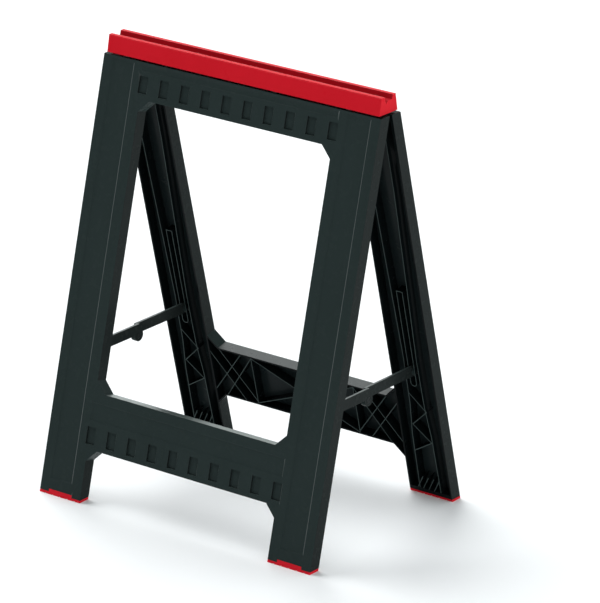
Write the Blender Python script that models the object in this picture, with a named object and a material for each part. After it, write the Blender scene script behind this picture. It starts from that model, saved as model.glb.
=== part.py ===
"""Folding sawhorse: two moulded leg panels hinged under a grooved top rail, held apart by folding braces.

Metres, +Z up. X runs along the rail, the front panel stands at -Y, and the origin is on the floor, midway
between the feet. The legs stand open. Each leg is drawn in its own upright frame, whose origin is the hinge
axis: x across the panel, y from the outer face inwards, z up. An empty on the hinge axis then leans it out.
"""

import math

import bmesh
import bpy
from mathutils import Vector

# Overall stance
PANEL_HALF_WIDTH = 0.2920
LEG_TOP_Z = 0.7413          # distances down the panel start here, on its outer face
LEG_TOP_Y = 0.0260
LEG_CUT_Z = 0.7397          # the level top of the standing leg
LEG_FOOT_Y = 0.2107         # outer face on the floor
HINGE_Z = 0.7313
GAP = 0.0003                # air between touching pieces
BITE = 0.0010               # how far a rib or lug reaches into the wall it grows from
PAST = 0.0100               # how far a cutting shape runs past the face it cuts
AWAY = 0.4000               # clear of the whole object

# Leg panel, across and down its outer face
PANEL_DEPTH = 0.0228
BEYOND_TOP = -0.0200        # down the panel, past its upper and lower ends
BEYOND_FLOOR = 0.8000
SKIN = 0.0045
WALL = 0.0030
RIB = 0.0016
RIM_STEP = 0.0004           # ribs stop this far below the panel's rim
WINDOW_HALF_WIDTH = 0.2030
WINDOW_TOP = 0.0645
WINDOW_BOTTOM = 0.5695
CORNER = 0.0205             # chamfer of the window and of the gap between the feet
LOWER_RAIL_BOTTOM = 0.6684
HOLLOW_TOP = 0.0031
HOLLOW_BOTTOM = 0.7465
STILE_CENTRE = (PANEL_HALF_WIDTH + WINDOW_HALF_WIDTH) / 2

# Relief on the outer face
RELIEF = 0.0012             # depth of the bands and stile panels
RELIEF_RUN = 0.0021         # width of their sloping rims
STILE_PANEL = (0.2249, 0.2730)
STILE_PANEL_TOP = 0.0060
STILE_PANEL_BOTTOM = 0.7355
BAND_HALF_WIDTH = 0.2075
UPPER_BAND = (0.0040, 0.0170)
LOWER_BAND = (0.5867, 0.6185)
POCKETS_PER_RAIL = 10
POCKET_WIDTH = 0.0182
POCKET_HEIGHT = 0.0300
POCKET_DEPTH = 0.0034
POCKET_ROW_HALF_WIDTH = 0.2001
UPPER_POCKETS = 0.0396
LOWER_POCKETS = 0.6449

# Ribs inside the panel
TRACK_HALF_WIDTH = 0.0060
TRACK_TOP = 0.3460
TRACK_BOTTOM = 0.5280
TRACK_RIB = 0.0014
BAY = 0.1110                # the lattice's upright ribs
UPPER_STRUTS = 7
UPPER_STRUT_PITCH = 0.0580
BOW_UPPER = ((0.1500, 0.0225), (0.2600, 0.0195), (0.3400, 0.0168))
BOW_LOWER = ((0.4800, 0.0136), (0.5740, 0.0150), (0.6350, 0.0204))
BOW_ENDS = (0.0225, 0.0222)
SLANTS_PER_STILE = 4        # short leaning ribs above each foot
SLANT_START = 0.0270
SLANT_PITCH = -0.0115
SLANT_RUN = -0.0148
SLANT_TOP = 0.7216
ZIGZAG = ((0.0150, 0.5500), (-0.0176, 0.5830), (0.0160, 0.6150), (-0.0190, 0.6450), (0.0210, 0.6700))
CROSS_ENDS = (0.5735, 0.6650)       # the wide cross inside the lower rail, at both bays
BAY_RIBS = (
    ((0.2040, 0.5800), (0.1370, 0.6664)),
    ((0.1860, 0.5665), (0.1110, 0.6620)),
    ((0.1334, 0.5715), (0.2040, 0.6600)),
    ((0.1110, 0.5735), (0.1795, 0.6664)),
)

# Feet
SOLE = 0.0043
TAB_HALF_WIDTH = 0.0252
TAB_TOP = 0.7545
TAB_DEPTH = 0.0030
PLUG_HALF_WIDTH = 0.0300
PLUG_TOP = 0.7494
PLUG_DEPTHS = (0.0060, 0.0180)
TREADS = 5
TREAD_PITCH = 0.0160
TREAD_WIDTH = 0.0030
TREAD_DEPTH = 0.0010

# Top rail
RAIL_HALF_LENGTH = 0.2870
RAIL_BOTTOM = 0.7424
RAIL_TOP = 0.7719
SKIRT = 0.0245              # half the width at the bottom
RIDGE = 0.0190              # half the width over the two ridges
GROOVE_DEPTH = 0.0077
VEE_DEPTH = 0.0130
RIDGE_INSIDES = (-0.0112, 0.0115)
VEE_Y = -0.0067
GROOVE = (-0.0020, 0.0092)
RIDGE_DEPTH = 0.0062        # material above the hollow, below each ridge, the groove and the vee
GROOVE_FLOOR = 0.0030
VEE_FLOOR = 0.0027
CELL_FRONT = ((-0.0122, "ridge"), (-0.0096, "vee"), (-0.0040, "vee"))
CELL_BACK = ((-0.0018, "groove"), (0.0100, "groove"), (0.0128, "ridge"))
RAIL_CELLS = 12
RAIL_WEB = 0.0020
LUG_TOP = 0.7627

# Hinge
ROD_RADIUS = 0.0020
EYE_RADIUS = 0.0045
EYE_HOLE = ROD_RADIUS + GAP
HINGE_STATIONS = (-0.235, -0.080, 0.080, 0.235)
LUG_WIDTH = 0.0100
KNUCKLE_WIDTH = 0.0120
LUG_TO_KNUCKLE = 0.0005
KNUCKLE_SHIFT = (LUG_WIDTH + KNUCKLE_WIDTH) / 2 + LUG_TO_KNUCKLE
LUG_HALF_THICKNESS = 0.0022
ROD_HALF_LENGTH = 0.2580
CAP_RADIUS = 0.0042
CAP_LENGTH = 0.0070
CAP_FLOOR = 0.0014

# Folding braces
PIVOT_Z = 0.2455
PIVOT_DEPTH = 0.0145
BAR_HALF_HEIGHT = 0.0095
KNUCKLE_DROP = 0.0110       # the middle pin hangs this far below the bar's centre line
LOBE_RADIUS = 0.0110
LINK_SLAB = (0.0002, 0.0048)
LINK_BOSS_RADIUS = 0.0085
SHOULDER_FOOT = (0.0063, 0.0007)    # from the middle pin's station, where the bar steps down to the lobe
SHOULDER_TOP = 0.0015
PIVOT_PIN_RADIUS = 0.0025
PIVOT_HEAD_RADIUS = 0.0045
PIVOT_HEAD = 0.0014
KNUCKLE_PIN_RADIUS = 0.0031
KNUCKLE_HEAD_RADIUS = 0.0052
KNUCKLE_HEAD = 0.0012
DIMPLE_RADIUS = 0.0022
DIMPLE_DEPTH = 0.0005
DIMPLE_TAPER = 0.0006
KNUCKLE_TAPER = 0.0002
HEAD_CROWN = (0.0005, 0.0008)   # depth and inset of a rivet head's bevel

# Worked out from the stance
LEAN = math.atan((LEG_FOOT_Y - LEG_TOP_Y) / LEG_TOP_Z)
OUTER_FACE = LEG_TOP_Y * math.cos(LEAN) + (LEG_TOP_Z - HINGE_Z) * math.sin(LEAN)
HINGE_DOWN = (LEG_TOP_Z - HINGE_Z) * math.cos(LEAN) - LEG_TOP_Y * math.sin(LEAN)
PIVOT_DOWN = (LEG_TOP_Z - PIVOT_Z - PIVOT_DEPTH * math.sin(LEAN)) / math.cos(LEAN)
PIVOT_Y = LEG_TOP_Y + PIVOT_DOWN * math.sin(LEAN) - PIVOT_DEPTH * math.cos(LEAN)
SIDES = (("left", -1), ("right", 1))


def clear_scene():
    for obj in list(bpy.data.objects):
        bpy.data.objects.remove(obj)


def make_material(name, colour, roughness, metallic=0.0):
    material = bpy.data.materials.new(name)
    material.use_nodes = True
    shader = material.node_tree.nodes["Principled BSDF"]
    shader.inputs["Base Color"].default_value = (*colour, 1)
    shader.inputs["Roughness"].default_value = roughness
    shader.inputs["Metallic"].default_value = metallic
    material.diffuse_color = (*colour, 1)
    return material


# Shapes ---------------------------------------------------------------------------------------------------


def leg_frame(across, down, depth):
    """A point given on the panel's outer face, in the leg's upright frame."""
    return Vector((across, depth - OUTER_FACE, HINGE_DOWN - down))


def from_open_pose(y, z):
    """A point of the standing front leg's side view, in that leg's upright frame."""
    height = z - HINGE_Z
    turned_y = y * math.cos(LEAN) - height * math.sin(LEAN)
    turned_z = y * math.sin(LEAN) + height * math.cos(LEAN)
    return turned_y, turned_z


def finish_mesh(shape, name):
    bmesh.ops.recalc_face_normals(shape, faces=shape.faces)
    mesh = bpy.data.meshes.new(name)
    shape.to_mesh(mesh)
    shape.free()
    return mesh


def tube_mesh(name, rings, closed=False):
    """A solid through rings of points: capped at its ends, or closed on itself."""
    shape = bmesh.new()
    loops = [[shape.verts.new(point) for point in ring] for ring in rings]
    count = len(loops[0])
    pairs = list(zip(loops, loops[1:]))
    if closed:
        pairs.append((loops[-1], loops[0]))
    for first, second in pairs:
        for i in range(count):
            j = (i + 1) % count
            shape.faces.new((first[i], first[j], second[j], second[i]))
    if not closed:
        shape.faces.new(loops[0])
        shape.faces.new(loops[-1])
    return finish_mesh(shape, name)


def panel_prism(name, outline, depth_from, depth_to):
    """An outline drawn on the panel's outer face, given depth."""
    rings = [[leg_frame(x, down, depth) for x, down in outline] for depth in (depth_from, depth_to)]
    return tube_mesh(name, rings)


def side_prism(name, profile, x_from, x_to):
    """A side-view profile of (y, z) points, run along X."""
    rings = [[Vector((x, y, z)) for y, z in profile] for x in (x_from, x_to)]
    return tube_mesh(name, rings)


def arc(centre, radius, start, end, steps):
    """Points on an arc, in degrees, from start to end."""
    points = []
    for i in range(steps + 1):
        angle = math.radians(start + (end - start) * i / steps)
        points.append((centre[0] + radius * math.cos(angle), centre[1] + radius * math.sin(angle)))
    return points


def rectangle(x_from, x_to, down_from, down_to):
    return [(x_from, down_from), (x_to, down_from), (x_to, down_to), (x_from, down_to)]


def rib_mesh(name, path, thickness, closed=False):
    """A rib that follows a path drawn on the panel, from inside the skin to just below the rim."""
    points = [Vector(point) for point in path]
    last = len(points) - 1
    rings = []
    for i, point in enumerate(points):
        before = points[i - 1] if i > 0 or closed else point
        after = points[(i + 1) % len(points)] if i < last or closed else point
        incoming = (point - before).normalized() if before != point else (after - point).normalized()
        outgoing = (after - point).normalized() if after != point else incoming
        along = (incoming + outgoing).normalized()
        reach = thickness / 2 / max(0.3, along.dot(incoming))
        normal = Vector((-along.y, along.x)) * reach
        edges = (point + normal, point - normal)
        low, high = SKIN - BITE, PANEL_DEPTH - RIM_STEP
        corners = ((edges[0], low), (edges[1], low), (edges[1], high), (edges[0], high))
        rings.append([leg_frame(edge.x, edge.y, depth) for edge, depth in corners])
    return tube_mesh(name, rings, closed)


def turned_mesh(name, profile, segments=16):
    """A turned piece about X, from a profile of (x, radius) points."""
    rings = []
    for x, radius in profile:
        ring = []
        for i in range(segments):
            angle = 2 * math.pi * i / segments
            ring.append(Vector((x, radius * math.cos(angle), radius * math.sin(angle))))
        rings.append(ring)
    mesh = tube_mesh(name, rings)
    mesh.shade_smooth()
    mesh.set_sharp_from_angle(angle=math.radians(40))
    return mesh


def rod_mesh(x_from, x_to, radius, y=0.0, z=0.0, segments=16):
    """A plain round bar along X, used as a drill."""
    mesh = turned_mesh("drill", [(x_from, radius), (x_to, radius)], segments)
    for vertex in mesh.vertices:
        vertex.co.y += y
        vertex.co.z += z
    return mesh


def mirrored(points):
    return [(-x, y) for x, y in points]


def combine(mesh, tools, operation):
    """The mesh after a Boolean with each tool mesh in turn."""
    body = bpy.data.objects.new("body", mesh)
    bpy.context.collection.objects.link(body)
    helpers = []
    for tool in tools:
        helper = bpy.data.objects.new("tool", tool)
        helper.hide_render = True
        helper.display_type = "WIRE"
        bpy.context.collection.objects.link(helper)
        helpers.append(helper)
        modifier = body.modifiers.new("boolean", "BOOLEAN")
        modifier.operation = operation
        modifier.solver = "EXACT"
        modifier.object = helper
    graph = bpy.context.evaluated_depsgraph_get()
    result = bpy.data.meshes.new_from_object(body.evaluated_get(graph))
    for obj in [body, *helpers]:
        bpy.data.objects.remove(obj)
    return result


def one_mesh(name, meshes):
    """Meshes that don't touch, gathered into one."""
    shape = bmesh.new()
    for mesh in meshes:
        shape.from_mesh(mesh)
    return finish_mesh(shape, name)


# Leg panel ------------------------------------------------------------------------------------------------


def panel_outline():
    """The panel with the gap between its feet. It runs past both ends, for the level cuts."""
    inner = WINDOW_HALF_WIDTH
    right = [
        (inner, BEYOND_FLOOR),
        (inner, LOWER_RAIL_BOTTOM + CORNER),
        (inner - CORNER, LOWER_RAIL_BOTTOM),
    ]
    outer = [(PANEL_HALF_WIDTH, BEYOND_TOP), (PANEL_HALF_WIDTH, BEYOND_FLOOR)]
    half = outer + right
    return half + mirrored(reversed(half))


def window_outline():
    half, low = WINDOW_HALF_WIDTH, WINDOW_BOTTOM
    right = [
        (half - CORNER, WINDOW_TOP),
        (half, WINDOW_TOP + CORNER),
        (half, low - CORNER),
        (half - CORNER, low),
    ]
    return right + mirrored(reversed(right))


def level_cut():
    """The space between the floor side of the legs and the rail, both level when the legs stand open."""
    low = SOLE + GAP
    corners = [(-AWAY, low), (AWAY, low), (AWAY, LEG_CUT_Z), (-AWAY, LEG_CUT_Z)]
    return side_prism("level_cut", [from_open_pose(y, z) for y, z in corners], -AWAY, AWAY)


def hollows():
    """The open cells on the panel's inner side."""
    inner, outer = WINDOW_HALF_WIDTH + WALL, PANEL_HALF_WIDTH - WALL
    slant = WALL * math.sqrt(2)
    edge = WINDOW_HALF_WIDTH
    stile = rectangle(inner, outer, HOLLOW_TOP, HOLLOW_BOTTOM)
    upper_low = WINDOW_TOP - WALL
    upper_right = [
        (edge, HOLLOW_TOP),
        (edge, WINDOW_TOP + CORNER - slant),
        (edge - CORNER - WALL + slant, upper_low),
    ]
    upper = upper_right + mirrored(reversed(upper_right))
    lower_high = WINDOW_BOTTOM + WALL
    lower_low = LOWER_RAIL_BOTTOM - WALL
    lower_right = [
        (edge - CORNER - WALL + slant, lower_high),
        (edge, WINDOW_BOTTOM - CORNER + slant),
        (edge, LOWER_RAIL_BOTTOM + CORNER - slant),
        (edge - CORNER - WALL + slant, lower_low),
    ]
    lower = lower_right + mirrored(reversed(lower_right))
    outlines = [stile, mirrored(stile), upper, lower]
    return [panel_prism("hollow", outline, SKIN, PANEL_DEPTH + PAST) for outline in outlines]


def bowed_rib(side):
    """The long rib beside the brace's track, drawn in towards it at mid-height."""
    top, bottom = (HOLLOW_TOP - BITE, BOW_ENDS[0]), (HOLLOW_BOTTOM + BITE, BOW_ENDS[1])
    return [(side * offset, down) for down, offset in (top, *BOW_UPPER, *BOW_LOWER, bottom)]


def track_path():
    """The closed rib loop that the brace folds into: square above, round below."""
    half = TRACK_HALF_WIDTH
    bottom = arc((0, TRACK_BOTTOM), half, 0, 180, 6)
    return [(-half, TRACK_TOP), (half, TRACK_TOP), *bottom]


def stile_ribs():
    """Every rib of one stile, as (path, thickness, closed), across from the stile's centre."""
    ribs = [(bowed_rib(-1), RIB, False), (bowed_rib(1), RIB, False)]
    ribs.append((track_path(), TRACK_RIB, True))
    ribs.append((ZIGZAG, RIB, False))
    for i in range(SLANTS_PER_STILE):
        base = SLANT_START + SLANT_PITCH * i
        ribs.append(([(base, HOLLOW_BOTTOM + BITE), (base + SLANT_RUN, SLANT_TOP)], RIB, False))
    return ribs


def lower_rail_ribs():
    """The lattice inside the lower rail: crossed pairs at the ends and one large cross in the middle."""
    upright = ((BAY, WINDOW_BOTTOM + WALL - BITE), (BAY, LOWER_RAIL_BOTTOM - WALL + BITE))
    bay = [upright, *BAY_RIBS]
    high, low = CROSS_ENDS
    cross = [[(-BAY, high), (BAY, low)], [(BAY, high), (-BAY, low)]]
    return bay + [mirrored(path) for path in bay] + cross


def upper_rail_ribs():
    """Upright struts inside the upper rail."""
    high, low = HOLLOW_TOP - BITE, WINDOW_TOP - WALL + BITE
    ribs = []
    for i in range(UPPER_STRUTS):
        across = UPPER_STRUT_PITCH * (i - (UPPER_STRUTS - 1) / 2)
        ribs.append([(across, high), (across, low)])
    return ribs


def hinge_knuckles():
    """Round-nosed blocks that reach from the panel's skin to the hinge rod."""
    root = SKIN - BITE - OUTER_FACE
    nose = arc((0, 0), EYE_RADIUS, -90, 90, 8)
    profile = [(root, -EYE_RADIUS), *nose, (root, EYE_RADIUS)]
    blocks = []
    for station in HINGE_STATIONS:
        start = station - KNUCKLE_SHIFT - KNUCKLE_WIDTH / 2
        blocks.append(side_prism("knuckle", profile, start, start + KNUCKLE_WIDTH))
    return blocks


def panel_ribs():
    meshes = []
    for path in lower_rail_ribs() + upper_rail_ribs():
        meshes.append(rib_mesh("rib", path, RIB))
    for centre in (-STILE_CENTRE, STILE_CENTRE):
        for path, thickness, closed in stile_ribs():
            placed = [(centre + across, down) for across, down in path]
            meshes.append(rib_mesh("rib", placed, thickness, closed))
    return meshes + hinge_knuckles()


def pocket_rows():
    """The two rows of rectangular pockets, one on each rail."""
    outlines = []
    pitch = 2 * POCKET_ROW_HALF_WIDTH / (POCKETS_PER_RAIL - 1)
    for middle in (UPPER_POCKETS, LOWER_POCKETS):
        for i in range(POCKETS_PER_RAIL):
            left = -POCKET_ROW_HALF_WIDTH + pitch * i - POCKET_WIDTH / 2
            top = middle - POCKET_HEIGHT / 2
            outlines.append(rectangle(left, left + POCKET_WIDTH, top, top + POCKET_HEIGHT))
    return outlines


def sunk_field(x_from, x_to, down_from, down_to):
    """A shallow field cut into the outer face, with sloping rims."""
    rings = []
    for side in (-1, 1):
        run = side * RELIEF_RUN
        outline = rectangle(x_from + run, x_to - run, down_from + run, down_to - run)
        rings.append([leg_frame(x, down, side * RELIEF) for x, down in outline])
    return tube_mesh("sunk_field", rings)


def outer_relief():
    """What is sunk into the panel's outer face: bands, stile panels, pockets and the foot tabs' notches."""
    near, far = STILE_PANEL
    widths = [(-far, -near), (near, far)]
    shallow = [(-BAND_HALF_WIDTH, BAND_HALF_WIDTH, *band) for band in (UPPER_BAND, LOWER_BAND)]
    shallow += [(*width, STILE_PANEL_TOP, STILE_PANEL_BOTTOM) for width in widths]
    half = TAB_HALF_WIDTH + GAP
    cuts = [sunk_field(*edges) for edges in shallow]
    cuts += [panel_prism("pocket", outline, -PAST, POCKET_DEPTH) for outline in pocket_rows()]
    for centre in (-STILE_CENTRE, STILE_CENTRE):
        notch = rectangle(centre - half, centre + half, TAB_TOP - GAP, BEYOND_FLOOR)
        cuts.append(panel_prism("notch", notch, -PAST, TAB_DEPTH + GAP))
    return one_mesh("outer_relief", cuts)


def panel_holes():
    """The plug sockets under the feet, the hinge eyes and the brace pivots' bores."""
    cuts = []
    pivot = leg_frame(0, PIVOT_DOWN, PIVOT_DEPTH)
    depths = (PLUG_DEPTHS[0] - GAP, PLUG_DEPTHS[1] + GAP)
    for centre in (-STILE_CENTRE, STILE_CENTRE):
        half = PLUG_HALF_WIDTH + GAP
        socket = rectangle(centre - half, centre + half, PLUG_TOP - GAP, BEYOND_FLOOR)
        cuts.append(panel_prism("socket", socket, *depths))
        reach = 2 * TRACK_HALF_WIDTH
        cuts.append(rod_mesh(centre - reach, centre + reach, PIVOT_PIN_RADIUS + GAP, pivot.y, pivot.z))
    for station in HINGE_STATIONS:
        middle = station - KNUCKLE_SHIFT
        cuts.append(rod_mesh(middle - KNUCKLE_WIDTH, middle + KNUCKLE_WIDTH, EYE_HOLE))
    return one_mesh("panel_holes", cuts)


def leg_panel_mesh():
    mesh = panel_prism("leg_panel", panel_outline(), 0, PANEL_DEPTH)
    window = panel_prism("window", window_outline(), -PAST, PANEL_DEPTH + PAST)
    mesh = combine(mesh, [level_cut()], "INTERSECT")
    mesh = combine(mesh, [window, *hollows()], "DIFFERENCE")
    mesh = combine(mesh, panel_ribs(), "UNION")
    mesh = combine(mesh, [outer_relief(), panel_holes()], "DIFFERENCE")
    mesh.name = "leg_panel"
    return mesh


# Feet -----------------------------------------------------------------------------------------------------


def foot_mesh():
    """A sole the size of the leg's end, with a tab on the outer face and a plug inside."""
    half = (PANEL_HALF_WIDTH - WINDOW_HALF_WIDTH) / 2
    slope = math.tan(LEAN)
    thickness = PANEL_DEPTH / math.cos(LEAN)
    inner_y = -LEG_FOOT_Y + thickness
    corners = [
        (-LEG_FOOT_Y, 0),
        (inner_y, 0),
        (inner_y + SOLE * slope, SOLE),
        (-LEG_FOOT_Y + SOLE * slope, SOLE),
    ]
    sole = side_prism("sole", [from_open_pose(y, z) for y, z in corners], -half, half)
    above = ((-1, SOLE / 2), (1, SOLE / 2), (1, 1), (-1, 1))
    sole_upwards = side_prism("sole_upwards", [from_open_pose(y, z) for y, z in above], -AWAY, AWAY)
    reach = LEG_TOP_Z / math.cos(LEAN) + PAST
    tab = panel_prism("tab", rectangle(-TAB_HALF_WIDTH, TAB_HALF_WIDTH, TAB_TOP, reach), 0, TAB_DEPTH)
    plug = panel_prism("plug", rectangle(-PLUG_HALF_WIDTH, PLUG_HALF_WIDTH, PLUG_TOP, reach), *PLUG_DEPTHS)
    risers = [combine(mesh, [sole_upwards], "INTERSECT") for mesh in (tab, plug)]
    mesh = combine(sole, risers, "UNION")
    treads = []
    low, high = -PAST, TREAD_DEPTH
    corners = [(-AWAY, low), (0, low), (0, high), (-AWAY, high)]
    profile = [from_open_pose(y, z) for y, z in corners]
    for i in range(TREADS):
        start = (i - (TREADS - 1) / 2) * TREAD_PITCH - TREAD_WIDTH / 2
        treads.append(side_prism("tread", profile, start, start + TREAD_WIDTH))
    mesh = combine(mesh, treads, "DIFFERENCE")
    mesh.name = "foot"
    return mesh


# Top rail and hinge ---------------------------------------------------------------------------------------


def rail_profile():
    """The section: sloping skirts, two ridges, and a groove with a vee beside the front ridge."""
    groove = RAIL_TOP - GROOVE_DEPTH
    front = [(-SKIRT, RAIL_BOTTOM), (-RIDGE, RAIL_TOP), (RIDGE_INSIDES[0], RAIL_TOP)]
    middle = [(VEE_Y, RAIL_TOP - VEE_DEPTH), (GROOVE[0], groove), (GROOVE[1], groove)]
    back = [(RIDGE_INSIDES[1], RAIL_TOP), (RIDGE, RAIL_TOP), (SKIRT, RAIL_BOTTOM)]
    return front + middle + back


def rail_cell_profile():
    """The hollow under the rail, a wall's thickness inside its section."""
    low = RAIL_BOTTOM - PAST
    ridge = RAIL_TOP - RIDGE_DEPTH
    tops = {
        "ridge": ridge,
        "groove": RAIL_TOP - GROOVE_DEPTH - GROOVE_FLOOR,
        "vee": RAIL_TOP - VEE_DEPTH - VEE_FLOOR,
    }
    skirt, shoulder = SKIRT - WALL, RIDGE - WALL
    left = [(-skirt, low), (-skirt, RAIL_BOTTOM), (-shoulder, ridge)]
    middle = [(y, tops[level]) for y, level in CELL_FRONT + CELL_BACK]
    right = [(shoulder, ridge), (skirt, RAIL_BOTTOM), (skirt, low)]
    return left + middle + right


def rail_lug(station):
    """A flat lug that hangs between the legs' tops and ends in the hinge eye."""
    half = LUG_HALF_THICKNESS
    start = math.degrees(math.asin(half / EYE_RADIUS))
    eye = arc((0, HINGE_Z), EYE_RADIUS, 90 - start, start - 270, 14)
    profile = [(-half, LUG_TOP), (half, LUG_TOP), *eye]
    return side_prism("lug", profile, station - LUG_WIDTH / 2, station + LUG_WIDTH / 2)


def top_rail_mesh():
    mesh = side_prism("top_rail", rail_profile(), -RAIL_HALF_LENGTH, RAIL_HALF_LENGTH)
    inside = RAIL_HALF_LENGTH - WALL
    pitch = 2 * inside / RAIL_CELLS
    cells = []
    for i in range(RAIL_CELLS):
        start = -inside + pitch * i + RAIL_WEB / 2
        cells.append(side_prism("cell", rail_cell_profile(), start, start + pitch - RAIL_WEB))
    mesh = combine(mesh, [one_mesh("cells", cells)], "DIFFERENCE")
    mesh = combine(mesh, [rail_lug(station) for station in HINGE_STATIONS], "UNION")
    drills = []
    for station in HINGE_STATIONS:
        drills.append(rod_mesh(station - LUG_WIDTH, station + LUG_WIDTH, EYE_HOLE, 0, HINGE_Z))
    mesh = combine(mesh, [one_mesh("drills", drills)], "DIFFERENCE")
    mesh.name = "top_rail"
    return mesh


def hinge_rod_mesh():
    chamfer = 0.0005
    profile = [
        (-ROD_HALF_LENGTH, ROD_RADIUS - chamfer),
        (-ROD_HALF_LENGTH + chamfer, ROD_RADIUS),
        (ROD_HALF_LENGTH - chamfer, ROD_RADIUS),
        (ROD_HALF_LENGTH, ROD_RADIUS - chamfer),
    ]
    return turned_mesh("hinge_rod", profile)


def rod_cap_mesh():
    """A push-on cap: a cup that opens towards -X, over the end of the rod."""
    floor = CAP_LENGTH - CAP_FLOOR
    chamfer = 0.0008
    profile = [
        (floor, EYE_HOLE),
        (0, EYE_HOLE),
        (0, CAP_RADIUS),
        (CAP_LENGTH - chamfer, CAP_RADIUS),
        (CAP_LENGTH, CAP_RADIUS - chamfer),
    ]
    return turned_mesh("rod_cap", profile)


# Braces ---------------------------------------------------------------------------------------------------


def brace_link_mesh():
    """One link in its own frame: the leg pivot at the origin, the middle pin towards +Y."""
    pin = (PIVOT_Y, -KNUCKLE_DROP)
    rise = KNUCKLE_DROP - BAR_HALF_HEIGHT
    meet = 180 - math.degrees(math.asin(rise / LOBE_RADIUS))
    outline = arc((0, 0), BAR_HALF_HEIGHT, 90, 270, 12)
    outline += arc(pin, LOBE_RADIUS, meet, 384, 16)
    outline.append((PIVOT_Y + SHOULDER_FOOT[0], SHOULDER_FOOT[1]))
    outline.append((PIVOT_Y + SHOULDER_TOP, BAR_HALF_HEIGHT))
    mesh = side_prism("brace_link", outline, *LINK_SLAB)
    boss = rod_mesh(-LINK_SLAB[1], LINK_SLAB[0] + BITE, LINK_BOSS_RADIUS, segments=24)
    mesh = combine(mesh, [boss], "UNION")
    head = KNUCKLE_HEAD + GAP
    drills = [
        rod_mesh(-PAST, PAST, PIVOT_PIN_RADIUS + GAP),
        rod_mesh(-PAST, PAST, KNUCKLE_PIN_RADIUS + GAP, *pin),
    ]
    sink = rod_mesh(LINK_SLAB[1] - head, PAST, KNUCKLE_HEAD_RADIUS + GAP, *pin)
    mesh = combine(mesh, [one_mesh("drills", drills), sink], "DIFFERENCE")
    mesh.name = "brace_link"
    return mesh


def pivot_pin_mesh():
    """A rivet through the two ribs of a track, with a low head at each end."""
    face = TRACK_HALF_WIDTH + TRACK_RIB / 2 + GAP
    end = face + PIVOT_HEAD
    half = [(face, PIVOT_PIN_RADIUS), (face, PIVOT_HEAD_RADIUS), (end - HEAD_CROWN[0], PIVOT_HEAD_RADIUS)]
    half.append((end, PIVOT_HEAD_RADIUS - HEAD_CROWN[1]))
    return turned_mesh("pivot_pin", mirrored(reversed(half)) + half)


def knuckle_pin_mesh():
    """Half of the middle pin: a shank and a flush head with a dimple, inside one link's thickness."""
    outer = LINK_SLAB[1]
    profile = [
        (LINK_SLAB[0] + GAP, KNUCKLE_PIN_RADIUS),
        (outer - KNUCKLE_HEAD, KNUCKLE_PIN_RADIUS),
        (outer - KNUCKLE_HEAD, KNUCKLE_HEAD_RADIUS),
        (outer, KNUCKLE_HEAD_RADIUS - KNUCKLE_TAPER),
        (outer, DIMPLE_RADIUS),
        (outer - DIMPLE_DEPTH, DIMPLE_RADIUS - DIMPLE_TAPER),
    ]
    return turned_mesh("knuckle_pin", profile, 20)


# Assembly -------------------------------------------------------------------------------------------------


def place(name, mesh, material, location=(0, 0, 0), rotation=(0, 0, 0), parent=None):
    """An object that shares its mesh with the other copies of the same piece."""
    obj = bpy.data.objects.new(name, mesh)
    obj.location = location
    obj.rotation_euler = rotation
    obj.parent = parent
    if not mesh.materials:
        mesh.materials.append(material)
    bpy.context.collection.objects.link(obj)
    return obj


def hinge_axis(name, turn):
    """An empty on the hinge axis that leans a leg out. The back leg is the same moulding turned about Z."""
    empty = bpy.data.objects.new(name, None)
    empty.location = (0, 0, HINGE_Z)
    empty.rotation_euler = (-LEAN, 0, turn)
    bpy.context.collection.objects.link(empty)
    return empty


def build():
    clear_scene()
    black = make_material("charcoal_plastic", (0.020, 0.027, 0.027), 0.45)
    red = make_material("red_plastic", (0.52, 0.012, 0.020), 0.38)
    steel = make_material("zinc_plated_steel", (0.55, 0.56, 0.57), 0.35, 1.0)
    dark_steel = make_material("blackened_steel", (0.06, 0.065, 0.065), 0.42, 1.0)

    panel = leg_panel_mesh()
    foot = foot_mesh()
    link = brace_link_mesh()
    pivot_pin = pivot_pin_mesh()
    knuckle_pin = knuckle_pin_mesh()
    rod_cap = rod_cap_mesh()

    place("top_rail", top_rail_mesh(), red)
    place("hinge_rod", hinge_rod_mesh(), steel, (0, 0, HINGE_Z))
    cap_x = ROD_HALF_LENGTH - (CAP_LENGTH - CAP_FLOOR - GAP)
    for side, sign in SIDES:
        turn = 0 if sign > 0 else math.pi
        place(f"{side}_hinge_cap", rod_cap, dark_steel, (sign * cap_x, 0, HINGE_Z), (0, 0, turn))

    pivot = leg_frame(0, PIVOT_DOWN, PIVOT_DEPTH)
    for end, turn, ahead in (("front", 0, -1), ("back", math.pi, 1)):
        axis = hinge_axis(f"{end}_leg_axis", turn)
        place(f"{end}_leg_panel", panel, black, parent=axis)
        for side, sign in SIDES:
            local = -sign * ahead * STILE_CENTRE
            place(f"{side}_{end}_foot", foot, red, (local, 0, 0), parent=axis)
            place(f"{side}_{end}_pivot_pin", pivot_pin, dark_steel, (local, pivot.y, pivot.z), parent=axis)
            where = (sign * STILE_CENTRE, ahead * PIVOT_Y, PIVOT_Z)
            arm = place(f"{side}_{end}_brace_link", link, black, where, (0, 0, turn))
            half = "pin" if end == "front" else "pin_cap"
            tip = (0, PIVOT_Y, -KNUCKLE_DROP)
            place(f"{side}_knuckle_{half}", knuckle_pin, dark_steel, tip, parent=arm)


build()
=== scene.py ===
"""Looks of the folding sawhorse: rounded mouldings, procedural materials, studio and camera.

Metres, +Z up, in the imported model's own frame. X runs along the rail, and the front panel stands at -Y.
"""

import math

import bmesh
import bpy
from mathutils import Matrix, Vector


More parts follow.
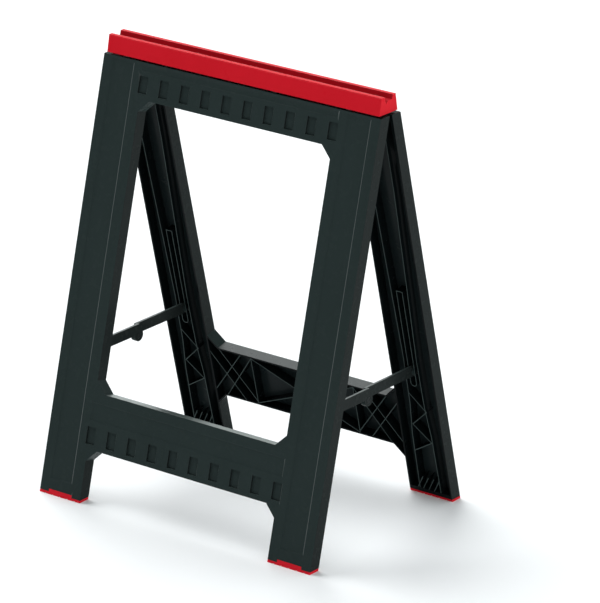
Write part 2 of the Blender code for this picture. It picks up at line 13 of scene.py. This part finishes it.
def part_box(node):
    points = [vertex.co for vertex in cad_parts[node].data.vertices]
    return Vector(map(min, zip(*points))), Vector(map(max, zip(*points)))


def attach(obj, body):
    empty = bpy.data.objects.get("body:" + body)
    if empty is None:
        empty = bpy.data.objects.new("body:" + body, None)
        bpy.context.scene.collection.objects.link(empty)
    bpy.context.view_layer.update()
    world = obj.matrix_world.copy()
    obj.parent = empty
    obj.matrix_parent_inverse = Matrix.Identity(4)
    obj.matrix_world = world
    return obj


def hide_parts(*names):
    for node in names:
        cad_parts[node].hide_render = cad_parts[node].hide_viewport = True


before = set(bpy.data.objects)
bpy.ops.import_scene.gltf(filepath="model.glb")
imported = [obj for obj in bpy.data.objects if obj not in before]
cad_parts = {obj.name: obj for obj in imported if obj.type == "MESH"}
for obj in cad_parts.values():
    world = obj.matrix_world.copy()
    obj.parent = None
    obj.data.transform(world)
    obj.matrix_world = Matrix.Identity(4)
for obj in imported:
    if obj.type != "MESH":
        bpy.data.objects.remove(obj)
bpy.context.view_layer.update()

# Rounding of the mouldings
WELD = 0.000002                     # corners closer than this are one corner
FLAT_ANGLE = math.radians(0.8)      # triangles closer than this to one plane become one face
SHARP_ANGLE = math.radians(28)      # edges that turn more than this are rounded and kept crisp
FACE_EDGE = 0.0004                  # radius round the panels' outer faces and their sunk shapes
FINE_EDGE = 0.0004                  # and round everything else
POCKET_EDGE = 0.0011                # and round, more softly, the pockets' upright sides that get the painted highlight
POCKET_SIDE = 0.0320                # a little longer than a pocket's upright side
PLANE_NEAR = 0.00002                # faces this near to one plane belong to the same flat
PLANE_MATCH = 0.99999               # and their normals agree this closely
LEDGE = 0.9                         # upward part of the normal of a face that counts as a ledge
UNDER_RAIL = 0.735                  # a panel's ledges above this height are hidden by the rail and get the painted shade
SIDEWAYS = 0.9                      # part of the normal along X of a face that counts as a flank
HIGHLIGHT_TURN = 0.2                        # how far towards the highlighted side a face must turn to get the painted highlight
RIM_FACING = (0.6, 0.95)            # outward part of the normal of the sunk fields' sloping rims
EDGE_STEPS = 3
RIB_RIMS = (0.0200, 0.0226)         # depths behind a panel's outer face between which its ribs' rims lie
OUTER_DEPTH = 0.0040                # a panel's faces that reach less deep than this belong to its outer side
HIGHLIGHT, INNER_SHADE, FLANK_SHADE, DEEP_SHADE, SHELF, RIM_HIGHLIGHT = 1, 2, 3, 4, 5, 6     # rows of CHARCOALS after the outer face's

# Painted highlight lines along the edges of the rail's ridges, as distances from its middle
INNER_LINE = (0.0106, 0.0117)
OUTER_LINE = (0.0192, 0.0230)
LINE_DROP = 0.0013                  # how far they reach down from the ridges' tops
FADE = 0.0002
GROOVE_HALF = 0.0112                # half of the groove's width
GROOVE_REACH = 0.0120               # and more than its depth

# Colours: a darker and a lighter shade, the roughness and the specular level
CHARCOAL = ((0.0235, 0.0345, 0.0335), (0.0265, 0.0385, 0.0375))
CHARCOALS = (
    ("charcoal_plastic", *CHARCOAL, 0.26, 0.03),
    # Painted highlight: paler and glossier, for ledges and the sloping rims on one side
    ("charcoal_painted_highlight", (0.0400, 0.0560, 0.0540), (0.0450, 0.0620, 0.0600), 0.32, 0.50),
    # Painted shade: darker, for the panels' inner skin
    ("charcoal_inner_painted_shade", (0.0115, 0.0170, 0.0180), (0.0140, 0.0205, 0.0215), 0.24, 0.05),
    # Painted shade: darker, for the flanks that face along X
    ("charcoal_flank_painted_shade", (0.0150, 0.0190, 0.0185), (0.0170, 0.0215, 0.0210), 0.26, 0.03),
    # Painted shade: near black, for deep cells and ledges hidden under the rail
    ("charcoal_deep_painted_shade", (0.0035, 0.0055, 0.0060), (0.0045, 0.0070, 0.0075), 0.24, 0.05),
    ("charcoal_shelf", *CHARCOAL, 0.30, 0.12),
    # Painted highlight: paler, for the ribs' rims
    ("charcoal_rim_painted_highlight", (0.0480, 0.0670, 0.0650), (0.0540, 0.0740, 0.0720), 0.30, 0.03),
)
# Colour of the painted highlight lines along the rail's ridges
HIGHLIGHT_RED = (0.90, 0.30, 0.31)
REDS = (
    ("red_plastic", (0.63, 0.010, 0.020), (0.67, 0.012, 0.024), 0.30, 0.03, HIGHLIGHT_RED),
    # The groove: darker as painted shade, and rougher
    ("groove_painted_shade", (0.38, 0.007, 0.014), (0.43, 0.009, 0.017), 0.42, 0.03),
)
FOOT_RED = ("foot_rubber", (0.66, 0.013, 0.025), (0.74, 0.017, 0.031), 0.62, 0.06)
ZINC = ("zinc_steel", (0.52, 0.53, 0.54), (0.60, 0.60, 0.60), 0.34)
DARK_STEEL = ("dark_steel", (0.07, 0.075, 0.075), (0.10, 0.105, 0.105), 0.42)
BLACKENED = ("blackened_steel", (0.022, 0.026, 0.026), (0.030, 0.034, 0.034), 0.55)

# Surface detail: a noise's scale, detail, roughness and stretch
FLOW = (9.0, 3.0, 0.55, (1.0, 1.0, 0.35))
GRAIN = (1400.0, 2.0, 0.6)
SCUFFS = (55.0, 5.0, 0.7)
MARKS = (260.0, 3.0, 0.6, (6.0, 1.0, 1.0))
CLOUD = (60.0, 3.0, 0.6)
# Noise that breaks up the painted highlight lines along the rail's ridges
HIGHLIGHT_BREAKUP_SCALE = 90.0
HIGHLIGHT_LEAST = 0.75                   # the painted highlight lines' least strength, of 1
PLASTIC_VARIES = 0.05               # how far the roughness varies to either side
STEEL_VARIES = 0.08
GRAIN_BUMP = (0.25, 0.00008)        # strength and depth
SCUFF_BUMP = (0.10, 0.00010)
MARK_BUMP = (0.15, 0.00004)

# Camera
CAMERA_PLACE = Vector((4.7192, -5.9650, 3.1496))
CAMERA_AZIMUTH = math.radians(37.746)
CAMERA_PITCH = math.radians(20.161)
CAMERA_ROLL = math.radians(0.200)
SENSOR = 36.0
CLIP_END = 200
LENS = 287.3
SHIFT = (0.00445, -0.00483)

# Studio
FLOOR_HALF = 40.0
SURROUND_LEVEL = 0.40
SURROUND_SLOPE = (0.52, 0.20, 0.05)     # how the level grows towards +X, +Y and +Z
SURROUND_COLOUR = (0.96, 0.99, 1.0, 1)
FLOOR_COLOUR = (0.93, 0.955, 0.965, 1)
FLOOR_ROUGHNESS = 0.6
FLOOR_SPECULAR = 0.1
LIGHTS = (                              # direction it shines from, strength, angle in degrees and colour
    ("key_light", (-1.0, 0.24, 0.92), 3.9, 66, (1, 1, 1)),
    ("side_light", (1.0, -0.10, 0.22), 0.35, 60, (1, 1, 1)),
    ("back_light", (-0.57, 0.82, 0.03), 0.32, 26, (0.90, 1.0, 0.97)),
)

SIDES = ("left", "right")
ENDS = ("front", "back")


# Materials ------------------------------------------------------------------------------------------------


class Nodes:
    """Short names for building one material's node tree."""

    def __init__(self, name):
        self.material = bpy.data.materials.new(name)
        self.material.use_nodes = True
        self.tree = self.material.node_tree
        self.shader = self.tree.nodes["Principled BSDF"]
        self.place = self.add("ShaderNodeTexCoord").outputs["Object"]

    def add(self, kind, **settings):
        node = self.tree.nodes.new(kind)
        for key, value in settings.items():
            setattr(node, key, value)
        return node

    def link(self, source, target):
        self.tree.links.new(source, target)

    def noise(self, scale, detail=2.0, roughness=0.5, stretch=(1, 1, 1)):
        mapping = self.add("ShaderNodeMapping")
        mapping.inputs["Scale"].default_value = stretch
        self.link(self.place, mapping.inputs["Vector"])
        node = self.add("ShaderNodeTexNoise")
        node.inputs["Scale"].default_value = scale
        node.inputs["Detail"].default_value = detail
        node.inputs["Roughness"].default_value = roughness
        self.link(mapping.outputs["Vector"], node.inputs["Vector"])
        return node.outputs["Fac"]

    def spread(self, value, low, high, start=0.3, end=0.7):
        """The value's range start to end, carried to low to high."""
        node = self.add("ShaderNodeMapRange")
        node.inputs["From Min"].default_value = start
        node.inputs["From Max"].default_value = end
        node.inputs["To Min"].default_value = low
        node.inputs["To Max"].default_value = high
        self.link(value, node.inputs["Value"])
        return node.outputs["Result"]

    def maths(self, operation, first, second=None):
        """One value worked out from one or two others, each a socket or a number."""
        node = self.add("ShaderNodeMath", operation=operation)
        for value, target in zip((first, second), node.inputs):
            if isinstance(value, (int, float)):
                target.default_value = value
            elif value is not None:
                self.link(value, target)
        return node.outputs["Value"]

    def blend(self, factor, first, second):
        """A colour between two colours."""
        node = self.add("ShaderNodeMix", data_type="RGBA")
        self.link(factor, node.inputs["Factor"])
        node.inputs["A"].default_value = (*first, 1)
        node.inputs["B"].default_value = (*second, 1)
        return node.outputs["Result"]

    def bump(self, heights):
        """Bumps on top of each other, from (value, strength, distance)."""
        normal = None
        for value, strength, distance in heights:
            node = self.add("ShaderNodeBump")
            node.inputs["Strength"].default_value = strength
            node.inputs["Distance"].default_value = distance
            self.link(value, node.inputs["Height"])
            if normal is not None:
                self.link(normal, node.inputs["Normal"])
            normal = node.outputs["Normal"]
        self.link(normal, self.shader.inputs["Normal"])


def moulded_plastic(name, dark, light, roughness, specular, painted_highlight=None):
    """Moulded plastic: fine eroded grain, faint flow shading, a roughness that varies a little, and painted
    highlight lines along the rail's ridges when given their colour.
    """
    made = Nodes(name)
    flow = made.noise(*FLOW)
    grain = made.noise(*GRAIN)
    scuffs = made.noise(*SCUFFS)
    colour = made.blend(made.spread(flow, 0, 1), dark, light)
    if painted_highlight:
        colour = painted_ridge_highlights(made, colour, painted_highlight)
    made.link(colour, made.shader.inputs["Base Color"])
    varied = made.spread(scuffs, roughness - PLASTIC_VARIES, roughness + PLASTIC_VARIES)
    made.link(varied, made.shader.inputs["Roughness"])
    made.shader.inputs["Specular IOR Level"].default_value = specular
    made.bump([(grain, *GRAIN_BUMP), (scuffs, *SCUFF_BUMP)])
    return made.material


def painted_ridge_highlights(made, colour, highlight_colour):
    """Painted highlights: paler lines along the edges of the rail's two ridges, broken up by noise. Gives
    the base colour.
    """
    axes = made.add("ShaderNodeSeparateXYZ")
    made.link(made.place, axes.inputs["Vector"])
    side = made.maths("ABSOLUTE", axes.outputs["Y"])
    lines = []
    for near, far in (INNER_LINE, OUTER_LINE):
        inside = made.spread(side, 0, 1, near, near + FADE)
        outside = made.spread(side, 1, 0, far - FADE, far)
        lines.append(made.maths("MULTIPLY", inside, outside))
    along = made.maths("ADD", *lines)
    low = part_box("top_rail")[1].z - LINE_DROP
    # Mask of the painted highlight lines, only near the ridges' tops
    painted_highlight = made.maths("MULTIPLY", along, made.spread(axes.outputs["Z"], 0, 1, low - FADE, low))
    highlight_strength = made.maths("MULTIPLY", painted_highlight, made.spread(made.noise(HIGHLIGHT_BREAKUP_SCALE), HIGHLIGHT_LEAST, 1))
    mix = made.add("ShaderNodeMix", data_type="RGBA")
    made.link(highlight_strength, mix.inputs["Factor"])
    made.link(colour, mix.inputs["A"])
    mix.inputs["B"].default_value = (*highlight_colour, 1)
    return mix.outputs["Result"]


def plated_steel(name, dark, light, roughness):
    """Drawn and plated steel, with fine marks round the piece."""
    made = Nodes(name)
    marks = made.noise(*MARKS)
    cloud = made.noise(*CLOUD)
    made.link(made.blend(made.spread(cloud, 0, 1), dark, light), made.shader.inputs["Base Color"])
    varied = made.spread(marks, roughness - STEEL_VARIES, roughness + STEEL_VARIES)
    made.link(varied, made.shader.inputs["Roughness"])
    made.shader.inputs["Metallic"].default_value = 1.0
    made.bump([(marks, *MARK_BUMP)])
    return made.material


# Mouldings ------------------------------------------------------------------------------------------------


def welded_copy(node):
    """The CAD node's mesh as joined faces, one for each flat of the shape."""
    shape = bmesh.new()
    shape.from_mesh(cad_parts[node].data)
    bmesh.ops.remove_doubles(shape, verts=shape.verts, dist=WELD)
    bmesh.ops.dissolve_limit(shape, angle_limit=FLAT_ANGLE, verts=shape.verts, edges=shape.edges)
    for face in shape.faces:
        face.material_index = 0
    return shape


def outward_edges(shape):
    return [edge for edge in shape.edges if edge.calc_face_angle_signed(0) > SHARP_ANGLE]


def level_part(edge):
    """How much of the edge's length runs along X."""
    return abs(edge.verts[0].co.x - edge.verts[1].co.x) / edge.calc_length()


def flat_of(shape):
    """The faces that share the plane of the largest face."""
    largest = max(shape.faces, key=lambda face: face.calc_area())
    normal, point = largest.normal.copy(), largest.verts[0].co.copy()
    return {
        face
        for face in shape.faces
        if face.normal.dot(normal) > PLANE_MATCH and abs((face.verts[0].co - point).dot(normal)) < PLANE_NEAR
    }


def round_edges(shape, edges, radius, material=-1):
    """Rounds the edges and gives the new faces their own material."""
    bmesh.ops.bevel(
        shape,
        geom=edges,
        offset=radius,
        segments=EDGE_STEPS,
        profile=0.5,
        affect="EDGES",
        clamp_overlap=True,
        material=material,
    )


def finished(name, shape, materials, body, node):
    """The shape as a smooth-shaded piece that rides on its body and stands for its CAD node."""
    bmesh.ops.recalc_face_normals(shape, faces=shape.faces)
    mesh = bpy.data.meshes.new(name)
    shape.to_mesh(mesh)
    shape.free()
    mesh.shade_smooth()
    mesh.set_sharp_from_angle(angle=SHARP_ANGLE)
    for material in materials:
        mesh.materials.append(material)
    piece = bpy.data.objects.new(name, mesh)
    bpy.context.scene.collection.objects.link(piece)
    normals = piece.modifiers.new("flat_faces", "WEIGHTED_NORMAL")
    normals.keep_sharp = True
    normals.weight = 100
    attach(piece, body)
    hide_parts(node)


def painted_highlight(normal, outward):
    """Whether a side wall or sloping rim leans to the left, seen from outside its panel: those get the
    painted highlight.
    """
    return normal.x * outward.y > HIGHLIGHT_TURN


def mark_sides(shape, face):
    """Sorts the faces: painted highlights on rib rims, other ledges and the sloping rims that lean left;
    painted shade on the inner skin, deep cells, ledges hidden under the rail and the two flanks; ledges
    tilted to -Y glossier.
    """
    sample = next(iter(face))
    outward, front = sample.normal.copy(), sample.verts[0].co.copy()
    for other in shape.faces:
        shallowest = min((front - vertex.co).dot(outward) for vertex in other.verts)
        facing = other.normal.dot(outward)
        hidden_top = other.normal.z > LEDGE and other.verts[0].co.z > UNDER_RAIL
        # Lit and shaded copies of the charcoal: painted highlights and painted shade by where each face sits
        if RIB_RIMS[0] < shallowest < RIB_RIMS[1]:
            other.material_index = RIM_HIGHLIGHT
        elif facing < -0.5 and shallowest < RIB_RIMS[0]:
            other.material_index = INNER_SHADE
        elif shallowest > OUTER_DEPTH or hidden_top:
            other.material_index = DEEP_SHADE
        elif other.normal.z > LEDGE and other.normal.y < 0:
            other.material_index = SHELF
        elif other.normal.z > LEDGE:
            other.material_index = HIGHLIGHT
        elif RIM_FACING[0] < facing < RIM_FACING[1] and painted_highlight(other.normal, outward):
            other.material_index = HIGHLIGHT
        elif abs(other.normal.x) > SIDEWAYS:
            other.material_index = FLANK_SHADE


def panel_moulding(end, materials):
    """A leg panel, with softer rounding and a painted highlight on its pockets' upright sides on one side,
    and fine rounding elsewhere.
    """
    node = f"{end}_leg_panel"
    shape = welded_copy(node)
    face = flat_of(shape)
    mark_sides(shape, face)
    outward = next(iter(face)).normal.copy()
    rims = [edge for edge in outward_edges(shape) if len(face.intersection(edge.link_faces)) == 1]
    pocket_sides = [
        edge
        for edge in rims
        if edge.calc_length() < POCKET_SIDE
        and level_part(edge) < 0.5
        and any(painted_highlight(wall.normal, outward) for wall in edge.link_faces if wall not in face)
    ]
    round_edges(shape, pocket_sides, POCKET_EDGE, HIGHLIGHT)
    round_edges(shape, [edge for edge in rims if edge.is_valid], FACE_EDGE)
    fine = [edge for edge in outward_edges(shape) if edge.calc_face_angle(0) > 2 * SHARP_ANGLE]
    round_edges(shape, fine, FINE_EDGE)
    finished(f"{end}_panel_moulding", shape, materials, f"{end}_leg", node)


def rail_moulding(materials):
    """The top rail, with the groove's faces in the second material: rougher, and darker as painted shade."""
    shape = welded_copy("top_rail")
    top = max(vertex.co.z for vertex in shape.verts)
    for face in shape.faces:
        middle = face.calc_center_median()
        if abs(middle.y) < GROOVE_HALF and middle.z > top - GROOVE_REACH and abs(face.normal.x) < 0.5:
            face.material_index = 1
    round_edges(shape, outward_edges(shape), FINE_EDGE)
    finished("rail_moulding", shape, materials, "rail", "top_rail")


def plain_moulding(name, node, materials, body):
    """A foot, or a brace link with a painted highlight on its top and painted shade on its flanks."""
    shape = welded_copy(node)
    if len(materials) > 1:
        # Painted highlight on the link's top, painted shade on its flanks
        for face in shape.faces:
            if face.normal.z > LEDGE:
                face.material_index = HIGHLIGHT
            elif abs(face.normal.x) > SIDEWAYS:
                face.material_index = FLANK_SHADE
    round_edges(shape, outward_edges(shape), FINE_EDGE)
    finished(name, shape, materials, body, node)


# Studio ---------------------------------------------------------------------------------------------------


def sun(name, towards, strength, angle, colour):
    """A broad soft light from far away, which shines from the direction given."""
    data = bpy.data.lights.new(name, "SUN")
    data.energy = strength
    data.angle = math.radians(angle)
    data.color = colour
    lamp = bpy.data.objects.new(name, data)
    lamp.rotation_mode = "QUATERNION"
    lamp.rotation_quaternion = Vector(towards).to_track_quat("Z", "Y")
    bpy.context.scene.collection.objects.link(lamp)


def surround():
    """An even pale surround, brighter towards the right and the back than towards the front."""
    world = bpy.data.worlds.new("surround")
    world.use_nodes = True
    nodes, links = world.node_tree.nodes, world.node_tree.links
    place = nodes.new("ShaderNodeTexCoord")
    along = nodes.new("ShaderNodeVectorMath")
    along.operation = "DOT_PRODUCT"
    along.inputs[1].default_value = SURROUND_SLOPE
    links.new(place.outputs["Generated"], along.inputs[0])
    level = nodes.new("ShaderNodeMath")
    level.operation = "ADD"
    level.inputs[1].default_value = SURROUND_LEVEL
    links.new(along.outputs["Value"], level.inputs[0])
    background = nodes["Background"]
    background.inputs["Color"].default_value = SURROUND_COLOUR
    links.new(level.outputs["Value"], background.inputs["Strength"])
    bpy.context.scene.world = world


def studio():
    """A plain pale floor, a soft pale surround, a broad light from the upper left and two faint low ones."""
    shape = bmesh.new()
    bmesh.ops.create_grid(shape, x_segments=1, y_segments=1, size=FLOOR_HALF)
    mesh = bpy.data.meshes.new("floor")
    shape.to_mesh(mesh)
    shape.free()
    made = Nodes("pale_floor")
    made.shader.inputs["Base Color"].default_value = FLOOR_COLOUR
    made.shader.inputs["Roughness"].default_value = FLOOR_ROUGHNESS
    made.shader.inputs["Specular IOR Level"].default_value = FLOOR_SPECULAR
    mesh.materials.append(made.material)
    floor = bpy.data.objects.new("floor", mesh)
    bpy.context.scene.collection.objects.link(floor)

    surround()
    for light in LIGHTS:
        sun(*light)

    scene = bpy.context.scene
    scene.view_settings.view_transform = "Standard"
    scene.view_settings.look = "None"


def camera():
    """The camera, from the right of the front panel and above, looking down at the middle."""
    data = bpy.data.cameras.new("camera")
    data.sensor_width = SENSOR
    data.lens = LENS
    data.shift_x, data.shift_y = SHIFT
    data.clip_end = CLIP_END
    eye = bpy.data.objects.new("camera", data)
    ahead = Vector((
        -math.sin(CAMERA_AZIMUTH) * math.cos(CAMERA_PITCH),
        math.cos(CAMERA_AZIMUTH) * math.cos(CAMERA_PITCH),
        -math.sin(CAMERA_PITCH),
    ))
    turn = Matrix.Rotation(-CAMERA_ROLL, 4, ahead)
    aim = ahead.to_track_quat("-Z", "Y").to_matrix().to_4x4()
    eye.matrix_world = Matrix.Translation(CAMERA_PLACE) @ turn @ aim
    bpy.context.scene.collection.objects.link(eye)
    bpy.context.scene.camera = eye


# The object -----------------------------------------------------------------------------------------------


def sawhorse():
    """Every moulding with its materials, and the steel pieces' materials."""
    charcoals = [moulded_plastic(*row) for row in CHARCOALS]
    reds = [moulded_plastic(*row) for row in REDS]
    foot = moulded_plastic(*FOOT_RED)
    zinc = plated_steel(*ZINC)
    dark_steel = plated_steel(*DARK_STEEL)
    blackened = plated_steel(*BLACKENED)

    rail_moulding(reds)
    for end in ENDS:
        panel_moulding(end, charcoals)
        for side in SIDES:
            place = f"{side}_{end}"
            plain_moulding(f"{place}_foot_moulding", f"{place}_foot", [foot], f"{end}_leg")
            link = f"{place}_brace_link"
            plain_moulding(f"{place}_link_moulding", link, charcoals, f"{place}_link")

    for name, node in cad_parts.items():
        if name == "hinge_rod":
            node.data.materials[0] = zinc
        elif "knuckle" in name:
            node.data.materials[0] = blackened
        elif name.endswith(("pin", "cap")):
            node.data.materials[0] = dark_steel


camera()
studio()
sawhorse()
